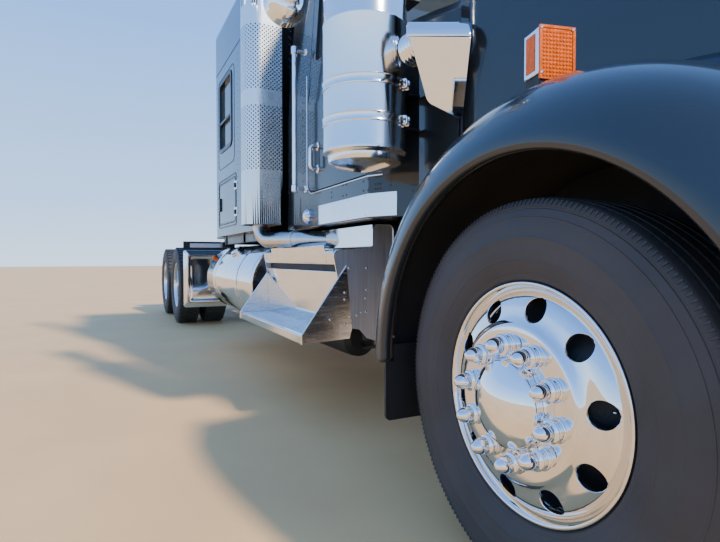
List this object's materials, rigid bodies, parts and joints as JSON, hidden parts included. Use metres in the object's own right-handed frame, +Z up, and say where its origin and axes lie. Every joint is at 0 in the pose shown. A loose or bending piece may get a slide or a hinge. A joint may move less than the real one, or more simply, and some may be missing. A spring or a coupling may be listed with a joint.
{
  "type": "semi truck tractor unit",
  "caption": "Long-hood sleeper tractor unit with steered front wheels, twin drive wheels, fifth wheel, tilting hood, doors, side tanks and twin stacks.",
  "frame": {"origin": "on the ground at the middle of the overall length and width", "axes": "+X forward, +Y to the vehicle's left, +Z up"},
  "size_m": [9.2, 2.712, 3.94],
  "materials": {
    "frame_rails": "satin black chassis paint",
    "bumper": "bright chrome",
    "front_axle": "black painted forging and springs",
    "drive_axles": "black painted castings",
    "rear_suspension": "black arms and rubber air springs",
    "engine": "plain grey block",
    "radiator": "dark core",
    "cab_shell": "dark slate metallic",
    "sleeper_shell": "dark slate metallic",
    "sleeper_boot": "black folded rubber",
    "fixed_glass": "tinted",
    "roof_trim": "visor and lamps",
    "interior": "dash, seats, bunk",
    "grab_handles": "polished",
    "step_box_left": "polished",
    "step_box_right": "polished",
    "fuel_tanks": "polished",
    "exhaust_stacks": "polished perforated guard and pipe",
    "air_cleaners": "polished stainless",
    "intake_shields": "polished stainless",
    "deck_plate": "tread plate",
    "quarter_fenders": "polished stainless",
    "mud_flaps": "black rubber",
    "fifth_wheel_base": "black",
    "hinges": "bright chrome",
    "fifth_wheel_plate": "greased black",
    "hood_shell": "dark slate metallic",
    "fenders": "dark slate metallic",
    "fender_liners": "black",
    "grille": "polished",
    "hood_lamps": "chrome housings",
    "front_flaps": "black rubber",
    "door_left": "dark slate metallic",
    "door_glass_left": "tinted",
    "mirrors_left": "polished housings",
    "door_right": "dark slate metallic",
    "door_glass_right": "tinted",
    "mirrors_right": "polished housings",
    "locker_door_left": "dark slate metallic",
    "locker_door_right": "dark slate metallic",
    "knuckle_left": "black forging",
    "knuckle_right": "black forging",
    "tyre_front_left": "black",
    "rim_front_left": "mirror polished",
    "tyre_front_right": "black",
    "rim_front_right": "mirror polished",
    "tyres_drive_1_left": "black",
    "rims_drive_1_left": "mirror polished",
    "tyres_drive_1_right": "black",
    "rims_drive_1_right": "mirror polished",
    "tyres_drive_2_left": "black",
    "rims_drive_2_left": "mirror polished",
    "tyres_drive_2_right": "black",
    "rims_drive_2_right": "mirror polished"
  },
  "bodies": {
    "frame": {"frame_rails": "frame_rails", "bumper": "bumper", "front_axle": "front_axle", "drive_axles": "drive_axles", "rear_suspension": "rear_suspension", "engine": "engine", "radiator": "radiator", "cab_shell": "cab_shell", "sleeper_shell": "sleeper_shell", "sleeper_boot": "sleeper_boot", "fixed_glass": "fixed_glass", "roof_trim": "roof_trim", "interior": "interior", "grab_handles": "grab_handles", "step_box_left": "step_box_left", "step_box_right": "step_box_right", "fuel_tanks": "fuel_tanks", "exhaust_stacks": "exhaust_stacks", "air_cleaners": "air_cleaners", "intake_shields": "intake_shields", "deck_plate": "deck_plate", "quarter_fenders": "quarter_fenders", "mud_flaps": "mud_flaps", "fifth_wheel_base": "fifth_wheel_base", "hinges": "hinges"},
    "fifth_wheel": {"fifth_wheel_plate": "fifth_wheel_plate"},
    "hood": {"hood_shell": "hood_shell", "fenders": "fenders", "fender_liners": "fender_liners", "grille": "grille", "hood_lamps": "hood_lamps", "front_flaps": "front_flaps"},
    "door_left": {"door_left": "door_left", "door_glass_left": "door_glass_left", "mirrors_left": "mirrors_left"},
    "door_right": {"door_right": "door_right", "door_glass_right": "door_glass_right", "mirrors_right": "mirrors_right"},
    "locker_door_left": {"locker_door_left": "locker_door_left"},
    "locker_door_right": {"locker_door_right": "locker_door_right"},
    "knuckle_left": {"knuckle_left": "knuckle_left"},
    "knuckle_right": {"knuckle_right": "knuckle_right"},
    "front_wheel_left": {"tyre_front_left": "tyre_front_left", "rim_front_left": "rim_front_left"},
    "front_wheel_right": {"tyre_front_right": "tyre_front_right", "rim_front_right": "rim_front_right"},
    "drive_wheels_1_left": {"tyres_drive_1_left": "tyres_drive_1_left", "rims_drive_1_left": "rims_drive_1_left"},
    "drive_wheels_1_right": {"tyres_drive_1_right": "tyres_drive_1_right", "rims_drive_1_right": "rims_drive_1_right"},
    "drive_wheels_2_left": {"tyres_drive_2_left": "tyres_drive_2_left", "rims_drive_2_left": "rims_drive_2_left"},
    "drive_wheels_2_right": {"tyres_drive_2_right": "tyres_drive_2_right", "rims_drive_2_right": "rims_drive_2_right"}
  },
  "joints": [
    {"name": "hood_tilt", "type": "hinge", "parent": "frame", "child": "hood", "pos_m": [4.55, 0, 0.6], "axis": [0, 1, 0], "range_deg": [0, 60]},
    {"name": "door_left_hinge", "type": "hinge", "parent": "frame", "child": "door_left", "pos_m": [2.55, 0.928, 1.8], "axis": [0, 0, -1], "range_deg": [0, 65]},
    {"name": "door_right_hinge", "type": "hinge", "parent": "frame", "child": "door_right", "pos_m": [2.55, -0.928, 1.8], "axis": [0, 0, 1], "range_deg": [0, 65]},
    {"name": "locker_left_hinge", "type": "hinge", "parent": "frame", "child": "locker_door_left", "pos_m": [0.24, 1.048, 1.385], "axis": [0, 0, -1], "range_deg": [0, 90]},
    {"name": "locker_right_hinge", "type": "hinge", "parent": "frame", "child": "locker_door_right", "pos_m": [0.24, -1.048, 1.385], "axis": [0, 0, 1], "range_deg": [0, 90]},
    {"name": "steer_left", "type": "hinge", "parent": "frame", "child": "knuckle_left", "pos_m": [3.75, 0.865, 0.508], "axis": [0, 0, 1], "range_deg": [-38, 38]},
    {"name": "steer_right", "type": "hinge", "parent": "frame", "child": "knuckle_right", "pos_m": [3.75, -0.865, 0.508], "axis": [0, 0, 1], "range_deg": [-38, 38]},
    {"name": "front_left_spin", "type": "hinge", "parent": "knuckle_left", "child": "front_wheel_left", "pos_m": [3.75, 1.009, 0.508], "axis": [0, 1, 0], "continuous": true},
    {"name": "front_right_spin", "type": "hinge", "parent": "knuckle_right", "child": "front_wheel_right", "pos_m": [3.75, -1.009, 0.508], "axis": [0, 1, 0], "continuous": true},
    {"name": "fifth_wheel_rock", "type": "hinge", "parent": "frame", "child": "fifth_wheel", "pos_m": [-3.15, 0, 1.13], "axis": [0, -1, 0], "range_deg": [-12, 12]},
    {"name": "drive_1_left_spin", "type": "hinge", "parent": "frame", "child": "drive_wheels_1_left", "pos_m": [-2.61, 0.9, 0.508], "axis": [0, 1, 0], "continuous": true},
    {"name": "drive_1_right_spin", "type": "hinge", "parent": "frame", "child": "drive_wheels_1_right", "pos_m": [-2.61, -0.9, 0.508], "axis": [0, 1, 0], "continuous": true},
    {"name": "drive_2_left_spin", "type": "hinge", "parent": "frame", "child": "drive_wheels_2_left", "pos_m": [-3.93, 0.9, 0.508], "axis": [0, 1, 0], "continuous": true},
    {"name": "drive_2_right_spin", "type": "hinge", "parent": "frame", "child": "drive_wheels_2_right", "pos_m": [-3.93, -0.9, 0.508], "axis": [0, 1, 0], "continuous": true}
  ],
  "couplings": [
    {"joint": "steer_right", "follows": "steer_left", "ratio": 1}
  ]
}
